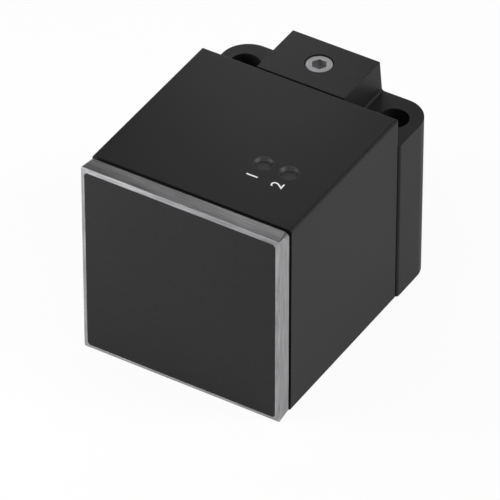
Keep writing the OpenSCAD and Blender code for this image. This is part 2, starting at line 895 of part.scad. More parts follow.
// Seen from the front: drafted centre block with a fillet at its foot
module block_profile() {
    rise = block_h - base_h;
    foot_x = block_w / 2 + rise * tan(block_draft);
    wall_x = foot_x - block_fillet * tan(block_draft);
    centre = [wall_x + block_fillet / cos(block_draft), base_h + block_fillet];
    steps = 12;
    right = [
        [block_w / 2, block_h],
        for (k = [0 : steps])
            let (turn = 180 + block_draft + k * (90 - block_draft) / steps)
            centre + block_fillet * [cos(turn), sin(turn)],
        [centre[0], base_h - cut]
    ];
    left = [for (k = [len(right) - 1 : -1 : 0]) [-right[k][0], right[k][1]]];
    polygon(concat(right, left));
}

module base_block() {
    color([0.16, 0.16, 0.17]) from_face() difference() {
        union() {
            linear_extrude(base_h) base_plan();
            prism_y(base_y, base_d) block_profile();
        }
        for (x = [-1, 1]) {
            translate([x * hole_spacing / 2, hole_y, -cut]) cylinder(h = base_h + 2 * cut, d = hole_d);
        }
        bar_y(base_y - cut, socket_l + cut, socket_r);
        bar_y(socket_end - cut, sleeve_flange_t + cut, flange_seat_r);
        bar_y(socket_end, back_t + cut, shank_hole_r);
        // Screw hole down to the socket, and the seat of the moulded-in insert
        translate([0, hole_y, axis_z]) cylinder(h = block_h - axis_z + cut, d = screw_d + 2 * fit);
        translate([0, hole_y, insert_z]) cylinder(h = insert_l, d = insert_d + 2 * press);
    }
}

module screw_insert() {
    groove = insert_d / 2 - insert_groove_depth;
    low = (insert_l - insert_groove_w) / 2;
    color("gold") from_face() translate([0, hole_y, insert_z]) rotate_extrude() polygon([
        [insert_bore / 2, 0],
        [insert_d / 2, 0],
        [insert_d / 2, low],
        [groove, low],
        [groove, low + insert_groove_w],
        [insert_d / 2, low + insert_groove_w],
        [insert_d / 2, insert_l],
        [insert_bore / 2, insert_l]
    ]);
}

module lock_screw() {
    edge = 0.1;
    cone_r = hex_af / 2 - hex_rim;
    cone_h = cone_r / tan(drill_angle / 2);
    color("lightgray") from_face() translate([0, hole_y, screw_z]) difference() {
        rotate_extrude() polygon([
            [0, 0],
            [point_d / 2, 0],
            [point_d / 2, point_l],
            [screw_d / 2, point_l + (screw_d - point_d) / 2],
            [screw_d / 2, screw_l - edge],
            [screw_d / 2 - edge, screw_l],
            [0, screw_l]
        ]);
        translate([0, 0, screw_l - hex_depth]) rotate([0, 0, 90])
            cylinder(h = hex_depth + cut, r = hex_af / sqrt(3), $fn = 6);
        translate([0, 0, screw_l - hex_depth - cone_h]) cylinder(h = cone_h, r1 = 0, r2 = cone_r);
    }
}

module connector_sleeve() {
    edge = 0.5;
    bore = sleeve_bore_d / 2;
    shank = shank_d / 2;
    thread = thread_d / 2;
    seat_r = carrier_flange_r + press;
    seal_r = shank_hole_r - sleeve_seal_d;
    shank_end = back_t;
    seal_w = sleeve_seal_d + ring_play / 2;
    seal_y = (sleeve_flange_t + shank_end - seal_w) / 2;
    color("silver") from_face() turned_y(socket_end) polygon([
        [seat_r, 0],
        [flange_d / 2, 0],
        [flange_d / 2, sleeve_flange_t],
        [shank, sleeve_flange_t],
        [shank, seal_y],
        [seal_r, seal_y],
        [seal_r, seal_y + seal_w],
        [shank, seal_y + seal_w],
        [shank, shank_end],
        [thread - undercut_depth, shank_end],
        [thread - undercut_depth, shank_end + undercut_l],
        [thread, shank_end + undercut_l + undercut_depth],
        [thread, shank_end + connector_l - edge],
        [thread - edge, shank_end + connector_l],
        [bore, shank_end + connector_l],
        [bore, carrier_flange_t],
        [seat_r, carrier_flange_t]
    ]);
}

module sleeve_seal() {
    middle = socket_end + (sleeve_flange_t + back_t) / 2;
    color("black") from_face() turned_y(middle) o_ring(shank_hole_r, sleeve_seal_d);
}

module contact_carrier() {
    color([0.12, 0.12, 0.13]) from_face() difference() {
        union() {
            difference() {
                union() {
                    bar_y(socket_end, carrier_flange_t, carrier_flange_r);
                    bar_y(socket_end, sleeve_end - carrier_recess - socket_end, carrier_r);
                }
                bar_y(cavity_floor, plug_depth + cut, plug_r);
            }
            // Coding key on the upper side of the cavity
            translate([-key_w / 2, cavity_floor - key_h, axis_z + plug_r - key_h])
                cube([key_w, plug_depth + key_h, key_h + carrier_wall / 2]);
        }
        for (column = [-1, 1], row = [-1, 1]) {
            at_pin(column, row)
                bar_y(socket_end - cut, cavity_floor - socket_end + 2 * cut, pin_d / 2 + press);
        }
    }
}

module contact_pins() {
    pin_l = sleeve_end - pin_recess - pin_start;
    radius = pin_d / 2;
    color("gold") from_face() for (column = [-1, 1], row = [-1, 1]) {
        at_pin(column, row) turned_y(pin_start) polygon([
            [0, 0],
            [pin_tail_d / 2, 0],
            [pin_tail_d / 2, pin_tail_l],
            [radius, pin_tail_l],
            [radius, pin_l - radius],
            [radius / 2, pin_l],
            [0, pin_l]
        ]);
    }
}

front_frame();
sensing_cap();
frame_gasket();
head_housing();
shield_ring();
ferrite_core();
coil_former();
coil_winding();
coil_leads();
core_carrier();
main_board();
sensor_chip();
output_transistor();
voltage_regulator();
suppressor_diode();
buffer_capacitor();
ceramic_capacitors();
resistors();
power_led();
switching_led();
power_light_guide();
switching_light_guide();
solder_joints();
brown_lead();
white_lead();
blue_lead();
black_lead();
tail_potting();
tail_seal();
base_block();
screw_insert();
lock_screw();
connector_sleeve();
sleeve_seal();
contact_carrier();
contact_pins();
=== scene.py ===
from math import cos, pi, radians, sqrt, tan

import bmesh
import bpy
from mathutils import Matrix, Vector


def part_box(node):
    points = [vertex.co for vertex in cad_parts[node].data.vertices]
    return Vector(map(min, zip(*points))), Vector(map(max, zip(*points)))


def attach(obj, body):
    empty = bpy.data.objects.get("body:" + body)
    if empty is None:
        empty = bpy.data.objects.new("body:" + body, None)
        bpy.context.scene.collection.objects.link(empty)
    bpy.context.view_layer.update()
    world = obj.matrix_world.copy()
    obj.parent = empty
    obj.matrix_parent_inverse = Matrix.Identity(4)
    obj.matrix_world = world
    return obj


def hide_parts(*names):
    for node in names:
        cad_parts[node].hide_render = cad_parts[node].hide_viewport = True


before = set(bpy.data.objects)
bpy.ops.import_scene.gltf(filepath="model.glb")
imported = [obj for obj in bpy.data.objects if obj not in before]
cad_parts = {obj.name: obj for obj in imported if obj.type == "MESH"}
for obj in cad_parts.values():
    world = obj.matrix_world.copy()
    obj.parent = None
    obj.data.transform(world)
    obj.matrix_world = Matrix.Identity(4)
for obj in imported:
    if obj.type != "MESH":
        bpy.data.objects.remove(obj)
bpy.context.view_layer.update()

MM = 0.001

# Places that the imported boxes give, in millimetres
FRAME = [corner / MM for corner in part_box("front_frame")]
FACE_Y = FRAME[0].y
HEAD_W = FRAME[1].x - FRAME[0].x
AXIS_Z = HEAD_W / 2
BASE = [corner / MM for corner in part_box("base_block")]
SLEEVE = [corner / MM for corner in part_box("connector_sleeve")]


def colour(code):
    """Turns an sRGB hex colour, such as "#2b2b2c", into Blender's linear one."""
    parts = [int(code[k:k + 2], 16) / 255 for k in (1, 3, 5)]
    return [p / 12.92 if p <= 0.04045 else ((p + 0.055) / 1.055) ** 2.4 for p in parts] + [1.0]


def add(tree, kind, links=None, values=None, **settings):
    """Adds a node with its settings, the values of its sockets and the links that come into it."""
    node = tree.nodes.new(kind)
    for name, value in settings.items():
        setattr(node, name, value)
    for socket, value in (values or {}).items():
        node.inputs[socket].default_value = value
    for socket, source in (links or {}).items():
        tree.links.new(source, node.inputs[socket])
    return node


# Sockets of the colour Mix node, whose names are shared by its number and vector forms
FACTOR, FIRST, SECOND, RESULT = 0, 6, 7, 2


def begin(name, **values):
    """Starts a material: its node tree and its shader, with the values that are the same all over."""
    material = bpy.data.materials.new(name)
    material.use_nodes = True
    tree = material.node_tree
    shader = tree.nodes["Principled BSDF"]
    for socket, value in values.items():
        shader.inputs[socket.replace("_", " ").title().replace("Ior", "IOR")].default_value = value
    return material, tree, shader


def millimetres(tree, centre=(0, 0, 0), stretch=(1, 1, 1)):
    """Object coordinates in millimetres about a centre, with a pattern drawn longer along each axis by
    stretch. A texture's scale on them is one over the size of its features in millimetres."""
    return add(
        tree, "ShaderNodeMapping",
        {"Vector": add(tree, "ShaderNodeTexCoord").outputs["Object"]},
        {"Location": [-c / s for c, s in zip(centre, stretch)], "Scale": [1 / (MM * s) for s in stretch]},
    ).outputs["Vector"]


# Values between which a noise texture mostly stays
NOISE_LOW, NOISE_HIGH = 0.3, 0.7

# A wave texture of scale 1 comes round again after this length
WAVE_PERIOD = 0.314


def vary(tree, shader, socket, pattern, low, high):
    """Lets a number of the shader follow a pattern between two values."""
    spread = add(
        tree, "ShaderNodeMapRange", {"Value": pattern},
        {"From Min": NOISE_LOW, "From Max": NOISE_HIGH, "To Min": low, "To Max": high},
    )
    tree.links.new(spread.outputs["Result"], shader.inputs[socket])


def tint(tree, shader, pattern, low, high):
    """Lets the colour follow a pattern between two hex colours, and returns the mixed colour."""
    mix = add(
        tree, "ShaderNodeMix", {FACTOR: pattern}, {FIRST: colour(low), SECOND: colour(high)},
        data_type="RGBA",
    )
    tree.links.new(mix.outputs[RESULT], shader.inputs["Base Color"])
    return mix.outputs[RESULT]


def relief(tree, shader, pattern, depth):
    """Raises a pattern as a relief of that depth in millimetres."""
    bump = add(tree, "ShaderNodeBump", {"Height": pattern}, {"Strength": 1.0, "Distance": depth * MM})
    tree.links.new(bump.outputs["Normal"], shader.inputs["Normal"])


def clouded(name, dark, light, smooth, rough, depth, size=1.0, stretch=(1, 1, 1), detail=2.0, **values):
    """A finish whose colour, gloss and relief follow one cloudy pattern of a size in millimetres. Its
    roughness runs from smooth to rough."""
    material, tree, shader = begin(name, **values)
    place = millimetres(tree, stretch=stretch)
    cloud = add(tree, "ShaderNodeTexNoise", {"Vector": place}, {"Scale": 1 / size, "Detail": detail})
    tint(tree, shader, cloud.outputs["Fac"], dark, light)
    vary(tree, shader, "Roughness", cloud.outputs["Fac"], smooth, rough)
    relief(tree, shader, cloud.outputs["Fac"], depth)
    return material


def moulded(name, dark, light, grain, depth, rough, level=0.5):
    """Injection-moulded plastic: the spark-eroded grain of the mould, and faint flow of the melt in the
    colour."""
    material, tree, shader = begin(name, specular_ior_level=level)
    place = millimetres(tree)
    grains = add(
        tree, "ShaderNodeTexNoise", {"Vector": place}, {"Scale": 1 / grain, "Detail": 3.0, "Roughness": 0.6},
    )
    flow = add(tree, "ShaderNodeTexNoise", {"Vector": place}, {"Scale": 1 / 12, "Detail": 2.0})
    tint(tree, shader, flow.outputs["Fac"], dark, light)
    vary(tree, shader, "Roughness", grains.outputs["Fac"], rough - 0.04, rough + 0.04)
    relief(tree, shader, grains.outputs["Fac"], depth)
    return material


def housing_plastic():
    # Glass-filled PBT, moulded in a spark-eroded mould: matt, nearly black, with a broad soft sheen.
    # The real grain is about 0.05 mm and is drawn at 0.22 mm so that it shows.
    return moulded(
        "black_moulded_pbt", "#1a1a1a", "#1e1e1e", grain=0.22, depth=0.004, rough=0.50, level=0.225
    )


def cap_plastic():
    # The sensing face is a greyer plastic from a finer mould: an even dark grey with a weak sheen.
    # The real grain is about 0.03 mm and is drawn at 0.16 mm so that it shows.
    return moulded("fine_matt_pbt", "#252526", "#28282a", grain=0.16, depth=0.001, rough=0.28, level=0.13)


def contact_plastic():
    # Glass-filled polyamide of the contact carrier: black, with a fine grain drawn at 0.15 mm to show.
    return moulded("black_polyamide", "#141415", "#1a1a1b", grain=0.15, depth=0.003, rough=0.48)


def former_plastic():
    # Natural PBT of the coil former: ivory and half matt, with its grain drawn at 0.3 mm to show.
    return moulded("ivory_pbt", "#d8cfb4", "#e2dac0", grain=0.3, depth=0.004, rough=0.45)


def carrier_plastic():
    # Light grey polycarbonate of the core carrier: half matt, with its grain drawn at 0.3 mm to show.
    return moulded("grey_polycarbonate", "#a9aba8", "#b5b7b3", grain=0.3, depth=0.004, rough=0.4)


def package_plastic():
    # Epoxy moulding compound of the chip packages: black, dull, with a gritty filler.
    return moulded("moulding_compound", "#161617", "#202021", grain=0.08, depth=0.004, rough=0.62)


def brushed_frame():
    # Brushed zinc die-cast frame under a thin clear nickel: the brush ran along each side, so fine
    # lines lie side by side along the depth and stretch the light across them.
    # The real lines are about 0.02 mm wide and are drawn at 0.25 mm so that they show.
    material, tree, shader = begin("brushed_nickelled_zinc", metallic=1.0, anisotropic=0.35)
    lines = add(
        tree, "ShaderNodeTexNoise", {"Vector": millimetres(tree, stretch=(7, 0.25, 7))},
        {"Scale": 1.0, "Detail": 3.0, "Roughness": 0.65},
    )
    cloud = add(tree, "ShaderNodeTexNoise", {"Vector": millimetres(tree)}, {"Scale": 1 / 5, "Detail": 2.0})
    tint(tree, shader, lines.outputs["Fac"], "#484849", "#cfcfd1")
    vary(tree, shader, "Roughness", cloud.outputs["Fac"], 0.30, 0.38)
    relief(tree, shader, lines.outputs["Fac"], 0.006)
    return material


def seal_rubber():
    # Nitrile rubber: black, dull, with the bloom that leaves it cloudy.
    return clouded(
        "nitrile_rubber", "#0b0b0b", "#131313", smooth=0.7, rough=0.85, depth=0.01, size=1.5, detail=4.0,
        specular_ior_level=0.3,
    )


def smoked_polycarbonate():
    # Tinted polycarbonate light guide: looks as black as the housing until it is lit.
    return clouded(
        "smoked_polycarbonate", "#0c0c0d", "#111112", smooth=0.54, rough=0.60, depth=0.002, size=0.6,
        ior=1.58, specular_ior_level=0.6,
    )


def centre_of(node):
    """Middle of a node's box, in millimetres."""
    low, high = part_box(node)
    return (low + high) / (2 * MM)


def turned(name, dark, light, node, along, pitch, rough, depth=0.004):
    """Metal turned on a lathe: fine rings about the node's axis, which stretch the light on its ends."""
    material, tree, shader = begin(name, metallic=1.0)
    rings = add(
        tree, "ShaderNodeTexWave", {"Vector": millimetres(tree, centre_of(node))},
        {"Scale": WAVE_PERIOD / pitch, "Distortion": 0.3, "Detail": 1.0, "Detail Scale": 2.0},
        wave_type="RINGS", rings_direction=along,
    )
    stain = add(tree, "ShaderNodeTexNoise", {"Vector": millimetres(tree)}, {"Scale": 1 / 1.4, "Detail": 3.0})
    tint(tree, shader, stain.outputs["Fac"], dark, light)
    vary(tree, shader, "Roughness", stain.outputs["Fac"], rough - 0.05, rough + 0.06)
    relief(tree, shader, rings.outputs["Fac"], depth)
    return material


def screw_steel():
    # Turned stainless steel set screw: pale grey, with fine rings on its face.
    # The real rings are about 0.05 mm apart and are drawn 0.12 mm apart.
    return turned(
        "turned_stainless_steel", "#868687", "#9a9a9b", "lock_screw", along="Z", pitch=0.12, rough=0.42
    )


def socket_steel_painted_light():
    # Inside of the hexagon: the screw's own stainless steel, painted much paler than its top as painted
    # light that lifts the shade in the socket, and a little smoother.
    return turned(
        "broached_steel_painted_light", "#c6c6c7", "#dadadb", "lock_screw", along="Z", pitch=0.12, rough=0.38
    )


def sleeve_metal():
    # Nickel-plated brass, turned before plating: warm pale grey and fairly bright, with its tool rings
    # nearly filled by the nickel. The real rings are about 0.05 mm apart and are drawn 0.3 mm apart.
    return turned(
        "nickel_plated_brass", "#b2aea2", "#c0bcb0", "connector_sleeve",
        along="Y", pitch=0.3, rough=0.27, depth=0.002,
    )


def pin_gold():
    # Brass pins with hard gold plating: deep yellow, smooth.
    return turned(
        "gold_plated_brass", "#c99a3c", "#e0b355", "contact_pins", along="Y", pitch=0.1, rough=0.22
    )


def insert_brass():
    # Turned free-cutting brass: bright yellow with tool rings, drawn 0.15 mm apart to show.
    return turned("turned_brass", "#a98843", "#c6a45a", "screw_insert", along="Z", pitch=0.15, rough=0.32)


def rolled_copper():
    # Rolled copper strip of the shield ring: reddish, with faint lines from the rolls along the ring.
    return clouded(
        "rolled_copper", "#9c5b3a", "#c07a52", smooth=0.28, rough=0.42, depth=0.003,
        stretch=(6, 0.15, 6), detail=3.0, metallic=1.0,
    )


def sintered_ferrite():
    # Sintered ferrite: dark grey ceramic with a dry, slightly sparkling grain and small chips.
    material, tree, shader = begin("sintered_ferrite", ior=2.2, specular_ior_level=0.4)
    place = millimetres(tree)
    grains = add(tree, "ShaderNodeTexVoronoi", {"Vector": place}, {"Scale": 1 / 0.25, "Randomness": 1.0})
    chips = add(tree, "ShaderNodeTexNoise", {"Vector": place}, {"Scale": 1 / 0.9, "Detail": 4.0})
    tint(tree, shader, chips.outputs["Fac"], "#2b2c2f", "#3c3d41")
    vary(tree, shader, "Roughness", chips.outputs["Fac"], 0.5, 0.7)
    relief(tree, shader, grains.outputs["Distance"], 0.02)
    return material


def enamelled_winding():
    # Enamelled copper wire, wound in layers: each turn stands up as a small round ridge, 0.4 mm apart.
    material, tree, shader = begin("enamelled_winding", metallic=0.75, coat_weight=0.6, coat_roughness=0.15)
    place = millimetres(tree)
    turns = add(
        tree, "ShaderNodeTexWave", {"Vector": place},
        {"Scale": WAVE_PERIOD / 0.4, "Distortion": 0.15, "Detail": 0.0},
        wave_type="BANDS", bands_direction="Y", wave_profile="SIN",
    )
    cloud = add(tree, "ShaderNodeTexNoise", {"Vector": place}, {"Scale": 1 / 1.2, "Detail": 2.0})
    tint(tree, shader, cloud.outputs["Fac"], "#7b3416", "#a34a22")
    vary(tree, shader, "Roughness", cloud.outputs["Fac"], 0.3, 0.45)
    relief(tree, shader, turns.outputs["Fac"], 0.12)
    return material


def enamelled_wire():
    # The winding's two ends: the same enamelled copper, with small kinks in the gloss.
    return clouded(
        "enamelled_wire", "#7b3416", "#a34a22", smooth=0.3, rough=0.45, depth=0.02, size=0.5,
        metallic=0.75, coat_weight=0.6, coat_roughness=0.15,
    )


def solder_resist():
    # Glass-epoxy board under green solder resist: copper tracks show through as paler, raised bands.
    material, tree, shader = begin("solder_resist", coat_weight=0.4, coat_roughness=0.2)
    place = millimetres(tree)
    tracks = add(
        tree, "ShaderNodeTexVoronoi", {"Vector": place}, {"Scale": 1 / 2.6, "Randomness": 0.6},
        feature="DISTANCE_TO_EDGE", distance="MANHATTAN",
    )

    # A track runs along each cell's edge: it is full up to the first distance and gone at the second
    edge = add(
        tree, "ShaderNodeMapRange", {"Value": tracks.outputs["Distance"]},
        {"From Min": 0.06, "From Max": 0.09, "To Min": 1.0, "To Max": 0.0},
    )
    weave = add(tree, "ShaderNodeTexNoise", {"Vector": place}, {"Scale": 1 / 0.5, "Detail": 2.0})
    tint(tree, shader, edge.outputs["Result"], "#0f4a2a", "#1d6b3d")
    vary(tree, shader, "Roughness", weave.outputs["Fac"], 0.3, 0.42)
    relief(tree, shader, edge.outputs["Result"], 0.03)
    return material


def fired_ceramic():
    # Multilayer ceramic capacitors: fired tan body, slightly chalky.
    return clouded(
        "fired_ceramic", "#8d6a47", "#a8845e", smooth=0.5, rough=0.65, depth=0.006, size=0.2, detail=3.0,
    )


def drawn_aluminium():
    # Deep-drawn aluminium can of the buffer capacitor: fine lines up its side from the drawing die.
    return clouded(
        "drawn_aluminium", "#b9babd", "#d6d7d9", smooth=0.25, rough=0.4, depth=0.003,
        stretch=(0.08, 0.08, 4), metallic=1.0,
    )


def led_package(name, lit):
    # Indicator package of white plastic with a cast lens: pale, with the tint of its own light.
    return clouded(
        name, lit, "#f1efe6", smooth=0.3, rough=0.4, depth=0.01, size=0.8,
        coat_weight=0.5, coat_roughness=0.08, subsurface_weight=0.05,
    )


def solder():
    # Tin solder: pale grey, rippled where it set.
    return clouded(
        "tin_solder", "#a8a9ab", "#c6c7c9", smooth=0.2, rough=0.4, depth=0.06, size=0.5, metallic=1.0,
    )


# Stripped length of each lead, in millimetres
STRIPPED = 2.2


def insulation(hue, dark, light):
    # Extruded PVC insulation: half gloss with faint extrusion lines along the wire. The stripped end
    # towards the board is tinned copper.
    material, tree, shader = begin(hue + "_pvc")
    lines = add(
        tree, "ShaderNodeTexNoise", {"Vector": millimetres(tree, stretch=(0.15, 5, 0.15))},
        {"Scale": 1.0, "Detail": 2.0},
    )
    coat = tint(tree, shader, lines.outputs["Fac"], dark, light)
    split = add(tree, "ShaderNodeSeparateXYZ", {"Vector": millimetres(tree)})
    stripped = add(
        tree, "ShaderNodeMath", {0: split.outputs["Y"]}, {1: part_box(hue + "_lead")[0].y / MM + STRIPPED},
        operation="LESS_THAN",
    )
    whole = add(
        tree, "ShaderNodeMix", {FACTOR: stripped.outputs["Value"], FIRST: coat},
        {SECOND: colour("#c9c5bd")}, data_type="RGBA",
    )
    tree.links.new(whole.outputs[RESULT], shader.inputs["Base Color"])
    tree.links.new(stripped.outputs["Value"], shader.inputs["Metallic"])
    vary(tree, shader, "Roughness", lines.outputs["Fac"], 0.34, 0.44)
    relief(tree, shader, lines.outputs["Fac"], 0.004)
    return material


def cast_resin():
    # Cast polyurethane in the tail: dark, glossy, with a few trapped bubbles.
    material, tree, shader = begin("cast_polyurethane", coat_weight=0.3, coat_roughness=0.1)
    place = millimetres(tree)
    bubbles = add(tree, "ShaderNodeTexVoronoi", {"Vector": place}, {"Scale": 1 / 1.3, "Randomness": 1.0})
    cloud = add(tree, "ShaderNodeTexNoise", {"Vector": place}, {"Scale": 1 / 3, "Detail": 2.0})
    tint(tree, shader, cloud.outputs["Fac"], "#191a1c", "#242629")
    vary(tree, shader, "Roughness", cloud.outputs["Fac"], 0.22, 0.34)
    relief(tree, shader, bubbles.outputs["Distance"], 0.05)
    return material


def printing_ink():
    # White pad-printing ink: opaque, matt, slightly thin towards the grain below.
    return clouded(
        "white_pad_print", "#f2f2f2", "#fcfcfc", smooth=0.6, rough=0.75, depth=0.003, size=0.25, detail=3.0,
        specular_ior_level=0.3,
    )


# Shares of plain white in the floor, as the camera sees it and as metal and gloss mirror it
SEEN_WHITE = 0.92
MIRRORED_WHITE = 0.35


def pale_floor():
    # Matt white studio floor: evenly white, with a barely visible fleck.
    material, tree, shader = begin("matt_white_floor", specular_ior_level=0.0)
    fleck = add(tree, "ShaderNodeTexNoise", {"Vector": millimetres(tree)}, {"Scale": 1 / 200, "Detail": 2.0})
    tint(tree, shader, fleck.outputs["Fac"], "#fafafa", "#fdfdfd")
    vary(tree, shader, "Roughness", fleck.outputs["Fac"], 0.9, 1.0)

    # Most of what the camera sees of it is plain white, and some of what metal and gloss mirror. More
    # white there turns the black plastic grey.
    path = add(tree, "ShaderNodeLightPath")
    mirrored = add(
        tree, "ShaderNodeMath",
        {0: path.outputs["Is Glossy Ray"], 1: path.outputs["Is Transmission Ray"]}, operation="MAXIMUM",
    )
    share = add(
        tree, "ShaderNodeMath", {0: mirrored.outputs["Value"]}, {1: MIRRORED_WHITE}, operation="MULTIPLY",
    )
    whole = add(
        tree, "ShaderNodeMath", {0: path.outputs["Is Camera Ray"], 2: share.outputs["Value"]},
        {1: SEEN_WHITE}, operation="MULTIPLY_ADD",
    )
    white = add(tree, "ShaderNodeEmission", values={"Strength": 1.0})
    mix = add(
        tree, "ShaderNodeMixShader",
        {0: whole.outputs["Value"], 1: shader.outputs["BSDF"], 2: white.outputs["Emission"]},
    )
    tree.links.new(mix.outputs["Shader"], tree.nodes["Material Output"].inputs["Surface"])
    return material


def deselect():
    """Deselects every object, so the next operator acts only on what is added or picked after it."""
    bpy.ops.object.select_all(action="DESELECT")


def pick(piece, test, kind="verts"):
    """In edit mode, selects exactly the vertices, edges or faces that pass a test."""
    bpy.ops.mesh.select_mode(type={"verts": "VERT", "edges": "EDGE", "faces": "FACE"}[kind])
    bpy.ops.mesh.select_all(action="DESELECT")
    mesh = bmesh.from_edit_mesh(piece.data)
    getattr(mesh, kind).index_update()
    for element in getattr(mesh, kind):
        if test(element):
            element.select_set(True)
    mesh.select_flush_mode()
    bmesh.update_edit_mesh(piece.data)


def apply(piece, kind, **settings):
    """Adds a modifier with its settings and applies it."""
    modifier = piece.modifiers.new(kind, kind)
    for name, value in settings.items():
        setattr(modifier, name, value)
    bpy.context.view_layer.objects.active = piece
    bpy.ops.object.modifier_apply(modifier=modifier.name)


def cut(piece, cutter):
    """Cuts one closed mesh out of another, and removes the cutter."""
    apply(piece, "BOOLEAN", operation="DIFFERENCE", object=cutter, solver="EXACT")
    bpy.data.objects.remove(cutter)


# Corners nearer than this, in metres, are one
MERGE = 1e-7


def complete(piece, material, smooth=30):
    """Finishes a new piece: clean normals, smooth shading below an angle in degrees, its material, and a
    place under the root body."""
    deselect()
    piece.select_set(True)
    bpy.context.view_layer.objects.active = piece
    bpy.ops.object.mode_set(mode="EDIT")
    bpy.ops.mesh.select_all(action="SELECT")
    bpy.ops.mesh.remove_doubles(threshold=MERGE)
    bpy.ops.mesh.normals_make_consistent(inside=False)
    bpy.ops.object.mode_set(mode="OBJECT")
    bpy.ops.object.transform_apply(location=True, rotation=True, scale=True)
    bpy.ops.object.shade_smooth_by_angle(angle=radians(smooth))
    apply(piece, "WEIGHTED_NORMAL", keep_sharp=True)
    piece.data.materials.clear()
    piece.data.materials.append(material)
    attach(piece, "root")


# Front frame, in millimetres: its section seen from the lip round to the back
LIP_W = 0.75  # width of the lip's slope
LIP_DROP = 0.3  # how far the lip slopes back
LAND = 0.1  # width of the narrow land round the sensing face
POCKET_DEPTH = 1.6  # of the pocket for the sensing face
OPENING_W = 36  # of the way through to the housing
REAR_CORNER_R = 1.0
LIP_CORNER_R = 0.3
INNER_R = 0.73
OPENING_R = 1.0
FACE_FALL = 0.02  # how far each land falls out of level
CORNER_STEPS = 8
FINE_EDGE = 0.09  # bevel of every edge


def make_front_frame(material):
    """Rounded squares, one for each edge of the section, bridged into one closed ring."""
    depth = FRAME[1].y - FACE_Y
    pocket = HEAD_W - 2 * (LIP_W + LAND)
    loops = [
        (HEAD_W, REAR_CORNER_R, depth),
        (HEAD_W, LIP_CORNER_R, LIP_DROP),
        (pocket + 2 * LAND, INNER_R + LAND, 0),
        (pocket, INNER_R, FACE_FALL),
        (pocket, INNER_R, POCKET_DEPTH),
        (OPENING_W, OPENING_R, POCKET_DEPTH - FACE_FALL),
        (OPENING_W, OPENING_R, depth - FACE_FALL),
    ]
    deselect()
    bpy.ops.mesh.primitive_plane_add(size=HEAD_W * MM)
    piece = bpy.context.object
    piece.name = "bevelled_front_frame"
    bpy.ops.object.mode_set(mode="EDIT")
    bpy.ops.mesh.delete(type="VERT")
    for width, radius, back in loops:
        bpy.ops.mesh.primitive_plane_add(
            size=width * MM, location=(0, (FACE_Y + back) * MM, AXIS_Z * MM), rotation=(pi / 2, 0, 0)
        )
        bpy.ops.mesh.bevel(offset=radius * MM, segments=CORNER_STEPS, affect="VERTICES")
        piece.vertex_groups.new(name="loop")
        bpy.ops.object.vertex_group_assign()
        bpy.ops.mesh.delete(type="ONLY_FACE")
    for number in range(len(loops)):
        bpy.ops.mesh.select_all(action="DESELECT")
        for member in (number, (number + 1) % len(loops)):
            piece.vertex_groups.active_index = member
            bpy.ops.object.vertex_group_select()
        bpy.ops.mesh.bridge_edge_loops()
    bpy.ops.object.mode_set(mode="OBJECT")
    piece.vertex_groups.clear()
    apply(piece, "BEVEL", width=FINE_EDGE * MM, segments=3, limit_method="ANGLE", angle_limit=radians(20))
    complete(piece, material, smooth=25)
    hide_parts("front_frame")


# Mounting base, in millimetres
REAR_R = 5.3
BLOCK_W = 17.8
BLOCK_DROP = 6.0  # from the centre block's top down to the shoulders
BLOCK_DRAFT = radians(5)
FOOT_FILLET = 0.4
HOLE_D = 5.5
HOLE_EDGE = 5.0  # from the sides to the mounting holes' middles
HOLE_BACK = 5.9  # from the back to the holes' and the lock screw's middles
SCREW_HOLE_D = 5.2
SOCKET_D = 17.3  # round socket for the head's tail
SOCKET_DEPTH = 8.9
FLANGE_D = 14.8  # seat of the sleeve's flange, and its shank below
FLANGE_DEPTH = 1.0
SHANK_D = 13.2
INSERT_D = 7.06
INSERT_LOW = 28.95  # height of the threaded insert's foot
INSERT_L = 7.0
MOULD_EDGE = 0.22  # bevel of every edge but the lock screw hole's rim
RIM_REACH = 0.26  # how far the front comes nearer to the head
SIDE_R = 0.55  # of the front upright edges
BORE_SIDES = 96
PICK_REACH = 0.05  # how near its place a corner has to be to be picked


def drill(piece, diameter, start, end, along):
    """Cuts a round hole from one point to another, in millimetres, along Y or Z."""
    middle = (Vector(start) + Vector(end)) / 2
    deselect()
    bpy.ops.mesh.primitive_cylinder_add(
        vertices=BORE_SIDES, radius=diameter / 2 * MM, depth=(Vector(end) - Vector(start)).length * MM,
        location=middle * MM, rotation=(pi / 2, 0, 0) if along == "Y" else (0, 0, 0),
    )
    cut(piece, bpy.context.object)


def upright(edge, middle_y, rear):
    """Tells whether an edge stands upright, behind a plane across Y in millimetres or before it."""
    ends = [vertex.co for vertex in edge.verts]
    return all((end.y > middle_y * MM) == rear for end in ends) and abs(ends[0].z - ends[1].z) > MM


